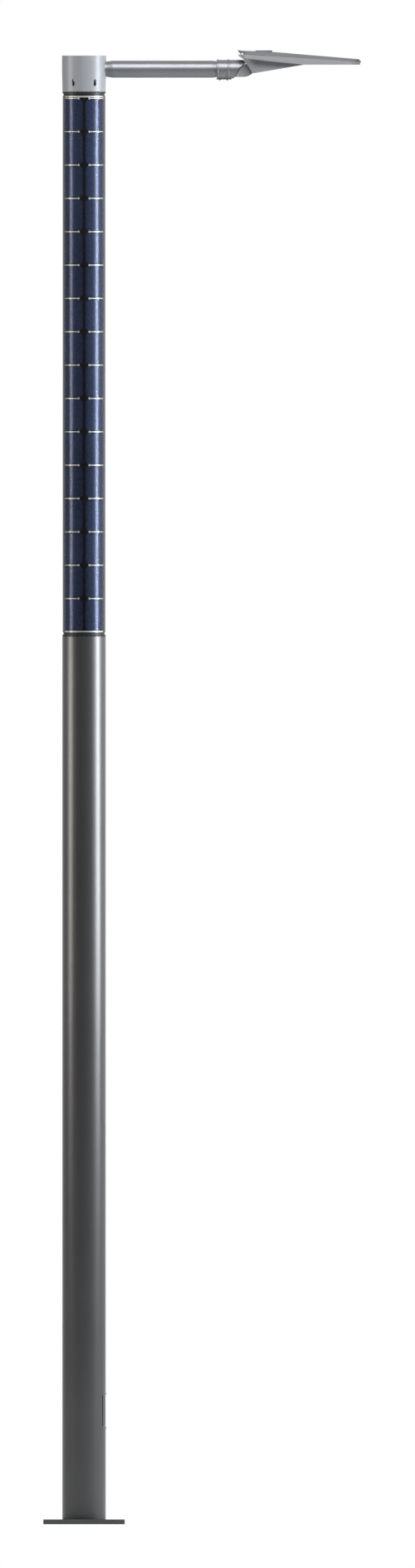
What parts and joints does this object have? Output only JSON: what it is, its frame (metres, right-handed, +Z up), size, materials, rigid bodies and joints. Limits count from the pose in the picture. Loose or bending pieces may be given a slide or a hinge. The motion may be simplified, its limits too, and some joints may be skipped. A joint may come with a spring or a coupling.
{
  "type": "solar street lamp post",
  "caption": "Flanged round lamp post with a photovoltaic sleeve above a battery compartment, a swivelling head with straight arm, and a tilting LED luminaire.",
  "frame": {"origin": "centre of the base plate's underside, on the pole's axis", "axes": "+Z up along the pole, +X along the arm towards the luminaire"},
  "size_m": [1.3015, 0.334, 6.0302],
  "materials": {
    "pole_paint": "satin metallic powder coat",
    "cast_grey": "satin light grey coat on cast aluminium",
    "arm_grey": "satin grey coat",
    "lamp_grey": "fine satin grey coat",
    "panel_grey": "satin dark grey",
    "black_plastic": "moulded matt black",
    "solar_blue": "smooth navy wafer",
    "ribbon_silver": "tinned ribbon",
    "clear_plastic": "clear polished tube",
    "seal_rubber": "black EPDM",
    "steel": "zinc plated",
    "bare_aluminium": "machined",
    "washer_plastic": "natural nylon",
    "brass": "plain",
    "battery_case": "moulded",
    "lamp_glass": "toughened clear",
    "board_white": "white solder mask",
    "optic_clear": "clear moulded optic"
  },
  "bodies": {
    "post": {"base_plate": "pole_paint", "lower_pole": "pole_paint", "door_frame": "steel", "door_seal": "seal_rubber", "lock_bridge": "steel", "battery_tray": "steel", "battery_packs": "battery_case", "battery_straps": "steel", "charge_controller": "battery_case", "controller_terminals": "black_plastic", "terminal_carrier": "steel", "terminal_block": "black_plastic", "panel_screws": "steel", "vent_screens": "steel", "earth_stud": "brass", "inner_mast": "steel", "mast_rings": "steel", "sleeve_spacers": "bare_aluminium", "cell_sleeve": "black_plastic", "cell_tabs": "ribbon_silver", "bus_bars": "ribbon_silver", "clear_tube": "clear_plastic", "end_ring_lower": "black_plastic", "end_ring_upper": "black_plastic", "thrust_washer": "washer_plastic", "solar_cells_1": "solar_blue", "solar_cells_2": "solar_blue", "solar_cells_3": "solar_blue", "solar_cells_4": "solar_blue"},
    "door": {"battery_door": "pole_paint"},
    "door_lock": {"door_lock_bolt": "steel"},
    "cover": {"service_cover": "panel_grey"},
    "head": {"head_cap": "cast_grey", "cap_lid": "cast_grey", "head_hub": "bare_aluminium", "head_screws": "steel", "arm_tube": "arm_grey"},
    "knuckle": {"spigot_knuckle": "arm_grey", "collar_screws": "steel"},
    "lamp": {"tilt_bracket": "steel", "tilt_bolt": "steel", "tilt_nut": "steel", "lamp_housing": "lamp_grey", "canopy_gasket": "seal_rubber", "hinge_pin": "steel", "glass_cover": "lamp_glass", "glass_seal": "seal_rubber", "led_board": "board_white", "led_optics": "optic_clear", "heat_spreader": "bare_aluminium", "spreader_screws": "steel", "led_driver": "bare_aluminium", "driver_tray": "steel", "surge_protector": "black_plastic", "lamp_terminals": "black_plastic"},
    "canopy": {"canopy": "lamp_grey", "lever_pin": "steel"},
    "latch": {"latch_lever": "lamp_grey"},
    "sensor": {"sensor_cap": "black_plastic"}
  },
  "joints": [
    {"name": "head_swivel", "type": "hinge", "parent": "post", "child": "head", "pos_m": [0, 0, 5.8604], "axis": [0, 0, 1], "range_deg": [-180, 180]},
    {"name": "collar_roll", "type": "hinge", "parent": "head", "child": "knuckle", "pos_m": [0.5715, 0, 5.9519], "axis": [1, 0, 0], "range_deg": [-5, 5]},
    {"name": "lamp_tilt", "type": "hinge", "parent": "knuckle", "child": "lamp", "pos_m": [0.698, 0, 5.9609], "axis": [0, 1, 0], "range_deg": [0, 15]},
    {"name": "canopy_open", "type": "hinge", "parent": "lamp", "child": "canopy", "pos_m": [1.131, 0, 5.98264], "axis": [0, 1, 0], "range_deg": [0, 75]},
    {"name": "latch_flip", "type": "hinge", "parent": "canopy", "child": "latch", "pos_m": [0.6445, 0, 6.0229], "axis": [0, 1, 0], "range_deg": [0, 45]},
    {"name": "sensor_twist", "type": "hinge", "parent": "canopy", "child": "sensor", "pos_m": [0.736, 0, 6.0219], "axis": [0, 0, 1], "range_deg": [0, 30]},
    {"name": "door_lift", "type": "slide", "parent": "post", "child": "door", "axis": [1, 0, 0], "range_m": [0, 0.15]},
    {"name": "lock_turn", "type": "hinge", "parent": "door", "child": "door_lock", "pos_m": [0.08, 0, 1.9945], "axis": [1, 0, 0], "range_deg": [0, 90]},
    {"name": "cover_lift", "type": "slide", "parent": "post", "child": "cover", "axis": [1, 0, 0], "range_m": [0, 0.1]}
  ]
}
